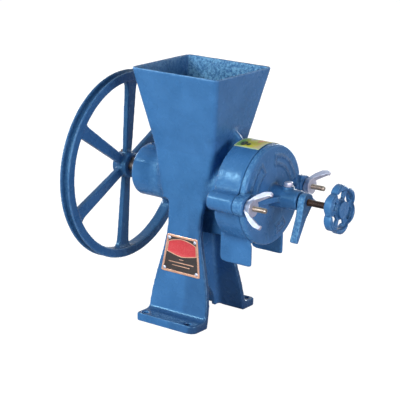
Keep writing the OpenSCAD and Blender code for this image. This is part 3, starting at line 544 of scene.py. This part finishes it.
def finished(bm, name, body, materials, replaced, smooth=35):
    """Turns a bmesh into a named piece that rides on its body."""
    bmesh.ops.recalc_face_normals(bm, faces=bm.faces[:])
    mesh = bpy.data.meshes.new(name)
    bm.to_mesh(mesh)
    bm.free()
    mesh.shade_smooth()
    mesh.set_sharp_from_angle(angle=math.radians(smooth))
    for material in materials:
        mesh.materials.append(material)
    obj = bpy.data.objects.new(name, mesh)
    bpy.context.scene.collection.objects.link(obj)
    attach(obj, body)
    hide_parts(*replaced)
    return obj


def studs():
    bm = bmesh.new()
    for y in (-80, 80):
        turned(bm, [(0, 0), (0, 3.4), (0.6, 4), (48, 4), (48, 0)], at(93, y, SHAFT_Z), (1, 0, 0))
        thread(bm, 141, 178, 4, 1.25, y)
    finished(bm, "threaded_studs", "mill", [M["yellow_zinc"]], ["cover_studs"])


def pressure_screw():
    bm = bmesh.new()
    thread(bm, 174.6, 244, 5, 1.5, steps=20)
    turned(bm, [(0, 0), (0, 4.4), (14, 4.4), (14.2, 0)], at(243.6, 0, SHAFT_Z), (1, 0, 0))
    finished(bm, "threaded_pressure_screw", "screw", [M["black_steel"]], ["pressure_screw"])


def oil_plug():
    bm = bmesh.new()
    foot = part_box("oil_plug")[0].z / MM
    top = SHAFT_Z + 18.5
    base = at(163.5, 0, top)
    turned(bm, [(foot - top, 0), (foot - top, 3.9), (0.05, 3.9), (0.05, 6.9), (0.35, 7.4), (0.9, 7.4),
                (1.2, 7.0), (1.2, 0)], base, (0, 0, 1))
    made = bmesh.ops.create_cone(bm, cap_ends=True, segments=6, radius1=6.9 * MM, radius2=6.9 * MM, depth=5.5 * MM)
    turn = Matrix.Translation(base + at(0, 0, 1 + 2.75)) @ Matrix.Rotation(math.radians(20), 4, "Z")
    bmesh.ops.transform(bm, matrix=turn, verts=made["verts"])
    rims = [e for v in made["verts"] for e in v.link_edges]
    bmesh.ops.bevel(bm, geom=list(set(rims)), offset=0.7 * MM, segments=3, profile=0.5, material=-1, affect="EDGES")
    finished(bm, "hex_oil_plug", "mill", [M["white_zinc"]], ["oil_plug"])


# The nameplate follows the front leg's curved face

PLATE = {"x": 2.3, "low": 77, "high": 60, "wide_low": 74, "wide_top": 58, "seat": 0.1}


def on_leg(u, v, h):
    """A point of the nameplate: u across, v up from its lower edge, h out from its back."""
    z = PLATE["low"] + v
    out = 43 + 15 * ((170 - z) / 170) ** 2
    return at(PLATE["x"] + u, -(out + PLATE["seat"] + h), z)


def half_wide(v):
    t = v / PLATE["high"]
    return (PLATE["wide_low"] * (1 - t) + PLATE["wide_top"] * t) / 2


def raised(bm, outline, base, top, steps):
    """A flat shape in (u, v), extruded from base to top, then stepped inwards: (inset, rise, material)."""
    face = bm.faces.new([bm.verts.new((u, v, base)) for u, v in outline])
    side = bmesh.ops.extrude_face_region(bm, geom=[face])
    verts = [g for g in side["geom"] if isinstance(g, bmesh.types.BMVert)]
    bmesh.ops.translate(bm, verts=verts, vec=(0, 0, top - base))
    lid = next(g for g in side["geom"] if isinstance(g, bmesh.types.BMFace))
    for inset, rise, material in steps:
        ring = bmesh.ops.inset_region(bm, faces=[lid], thickness=inset, depth=0, use_even_offset=True)["faces"]
        bmesh.ops.translate(bm, verts=lid.verts, vec=(0, 0, rise))
        for f in ring:
            f.material_index = material[0]
        lid.material_index = material[1]


def nameplate():
    bm = bmesh.new()
    tall = PLATE["high"]
    low, top = half_wide(0), half_wide(tall)
    corners = [(-low, 0, 1, 1), (low, 0, -1, 1), (top, tall, -1, -1), (-top, tall, 1, -1)]
    outline = []
    for i, (u, v, du, dv) in enumerate(corners):
        nub = [(u + du * 2.2, v), (u + du * 0.6, v + dv * 0.6), (u + du * 0.1, v + dv * 2.2)]
        outline += nub[::-1] if i in (0, 2) else nub
    raised(bm, outline, 0, 0.5, [(0.5, 0.28, (0, 0)), (2.6, 0, (0, 0)), (0.45, -0.35, (0, 1))])

    def side(v):
        return half_wide(v) - 4.1

    bend = [i / 8 for i in range(-8, 9)]
    lower = [(t * side(32), 26.4 + 5.6 * abs(t) ** 1.3) for t in bend]
    upper = [(t * side(49), 55.2 - 6.4 * abs(t) ** 1.8) for t in reversed(bend)]
    raised(bm, lower + upper, 0.43, 0.58, [(0.35, 0.06, (0, 0)), (0.7, 0, (0, 0)), (0.25, -0.1, (0, 2))])
    for v, half, high in ((22.0, 4.0, 0.9), (16.5, 24.0, 1.3), (11.5, 17.0, 1.1)):
        bar = [(-half, v), (half, v), (half, v + high), (-half, v + high)]
        raised(bm, bar, 0.43, 0.52, [(0.15, 0.04, (0, 0))])
    for v in np.arange(3, tall, 3):
        geom = bm.verts[:] + bm.edges[:] + bm.faces[:]
        bmesh.ops.bisect_plane(bm, geom=geom, dist=1e-4, plane_co=(0, float(v), 0), plane_no=(0, 1, 0))
    for v in bm.verts:
        v.co = on_leg(*v.co)
    finished(bm, "curved_nameplate", "mill", [M["copper"], M["black"], M["red"]], ["nameplate"], 28)


def rivets():
    bm = bmesh.new()
    dome = [(-5.5, 0), (-5.5, 1.6), (0.85, 1.6), (0.85, 2.8), (1.15, 2.85), (1.7, 2.45), (2.1, 1.6), (2.28, 0.8),
            (2.3, 0)]
    for v in (5.5, 54.5):
        for way in (-1, 1):
            u = way * (half_wide(v) - 5.5)
            z = PLATE["low"] + v
            slope = math.atan(30 * (170 - z) / 170 ** 2)
            base = on_leg(u, v, -PLATE["seat"])
            turned(bm, dome, base, (0, -math.cos(slope), math.sin(slope)), 28)
    finished(bm, "domed_rivets", "mill", [M["white_zinc"]], ["nameplate_rivets"])


def drum_label():
    bm = bmesh.new()
    centre = at(0, 0, SHAFT_Z)
    x0, x1, start, sweep = 81, 125, 62, 48
    a = math.radians(start)
    row = [bm.verts.new(at(x0 + (x1 - x0) * i / 14, 77.05 * math.cos(a), SHAFT_Z + 77.05 * math.sin(a)))
           for i in range(15)]
    edges = [bm.edges.new(pair) for pair in zip(row, row[1:])]
    bmesh.ops.spin(bm, geom=row + edges, cent=centre, axis=(1, 0, 0), angle=math.radians(sweep), steps=28,
                   use_merge=False)
    bmesh.ops.recalc_face_normals(bm, faces=bm.faces[:])
    if (bm.faces[:][0].calc_center_median() - centre).dot(bm.faces[:][0].normal) < 0:
        bmesh.ops.reverse_faces(bm, faces=bm.faces[:])
    bmesh.ops.solidify(bm, geom=bm.faces[:], thickness=-0.35 * MM)
    uv = bm.loops.layers.uv.new("print")
    for face in bm.faces:
        for loop in face.loops:
            p = loop.vert.co - centre
            turn = math.degrees(math.atan2(p.z, p.y))
            loop[uv].uv = ((p.x / MM - x0) / (x1 - x0), (turn - start) / sweep)
    finished(bm, "printed_drum_label", "mill", [M["print"]], ["drum_label"])


make_camera()
M = make_materials()
stage()
lamp("key", (-0.3, -2.8, 0.95), (0, 0, 0.2), 1.3, 60)
lamp("glint", (-1.5, -1.6, 1.6), (0, 0, 0.25), 0.45, 24)
lamp("fill", (2.8, -0.7, 0.4), (0, 0, 0.25), 1.4, 84, (1.0, 0.76, 0.76))
lamp("sheen", (1.8, 2.3, 0.5), (0, 0, 0.2), 1.6, 8)
lamp("back", (-0.5, 2.8, 0.6), (0, 0, 0.2), 1.3, 52)
lamp("left", (-2.8, 0.3, 0.5), (0, 0, 0.2), 1.3, 46)


def rough_and_glint_places(co, normals):
    """Inside the hopper, most of all on its back wall, rough and with painted glint patches, and a ring of the barrel
    next to the body as a painted highlight.
    """
    inside = (co[:, 2] > 262) & (co[:, 0] * normals[:, 0] + co[:, 1] * normals[:, 1] < -0.3)
    barrel = np.clip(1 - abs(co[:, 0] + 58) / 13, 0, 1) * (np.hypot(co[:, 1], co[:, 2] - SHAFT_Z) < 43) * 0.25
    return np.maximum(inside * np.where(normals[:, 1] < -0.6, 1.0, 0.3), barrel)


def painted_shade_places(co, normals):
    """Painted shade: the inner sides of the legs and web, under the drum, and the tops of the feet."""
    low = np.clip((190 - co[:, 2]) / 30, 0, 1) * np.clip((co[:, 0] - 8) / 8, 0, 1)
    tops = ((co[:, 2] < 30) & (normals[:, 2] > 0.6)) * 0.75
    return np.maximum(low * np.clip(normals[:, 0] * 2 + 0.4, 0, 1) * (co[:, 0] < 66) * (co[:, 1] > -105), tops)


# painted highlight: light glint patches and roughness round the cover's rim band
def drum_rim(co, normals):
    return ((np.hypot(co[:, 1], co[:, 2] - SHAFT_Z) > 74) & (abs(normals[:, 0]) < 0.5)) * 0.3


# faint painted glint patches and roughness in the pulley's groove
def groove(co, normals):
    far = np.hypot(co[:, 1], co[:, 2] - SHAFT_Z)
    return ((far > 140) & (far < 151.5) & (abs(normals[:, 0]) < 0.99)) * 0.15


# painted glints and roughness on the lever's front-facing side
def lever_edge(co, normals):
    return (normals[:, 1] < -0.4) * 0.6


casting("body_casting", "mill", 1.9, outer=(2.2, 3), scabs=0.5, rim=397, sandy_and_glint=rough_and_glint_places, painted_shade=painted_shade_places,
        skins=[(-104, -30, 41, 0, SHAFT_Z), (80, 127, 77, 0, SHAFT_Z)])
casting("cover_casting", "mill", 0.85, outer=(1.4, 3), inner=(2.6, 4), lump=0.18, grain=14, sandy_and_glint=drum_rim, shade=1.0,
        skins=[(127, 137, 77, 0, SHAFT_Z)])
casting("pulley", "rotor", 1.2, outer=(2.0, 4), inner=(5.0, 12), lump=0.3, grain=18, sandy_and_glint=groove, finish="shaded_blue",
        skins=[(-155, -134, 152.4, 0, SHAFT_Z), (-155, -134, 137, 0, SHAFT_Z), (-159, -130, 20, 0, SHAFT_Z)])
casting("lock_lever", "lever", 0.7, outer=(2.2, 6), inner=(3, 8), lump=0.2, grain=10, sandy_and_glint=lever_edge)
casting("handwheel", "screw", 0.75, outer=(1.8, 5), inner=(1.8, 5), lump=0.2, grain=12, shade=1.0)
for side in ("front", "back"):
    casting(side + "_wing_nut", side + "_nut", 0.5, outer=(1.0, 3), inner=(2.5, 8), lump=0.12, grain=8,
            finish="white_zinc")
studs()
pressure_screw()
oil_plug()
nameplate()
rivets()
drum_label()

kept = {
    "shaft": "shaft", "thrust_ball": "shaft", "carrier_pin": "shaft", "worm_key": "shaft", "pulley_key": "shaft",
    "handwheel_pin": "shaft", "drive_bush": "bronze", "cover_bush": "bronze", "worm_sleeve": "iron",
    "worm_flight": "iron", "runner_carrier": "iron", "fixed_plate": "chilled", "runner_plate": "chilled",
    "fixed_plate_screws": "black_steel", "runner_screws": "black_steel", "pulley_set_screw": "black_steel",
}
for name, finish in kept.items():
    for slot in nodes[name].material_slots:
        slot.material = M[finish]

bpy.context.scene.view_settings.view_transform = "Standard"
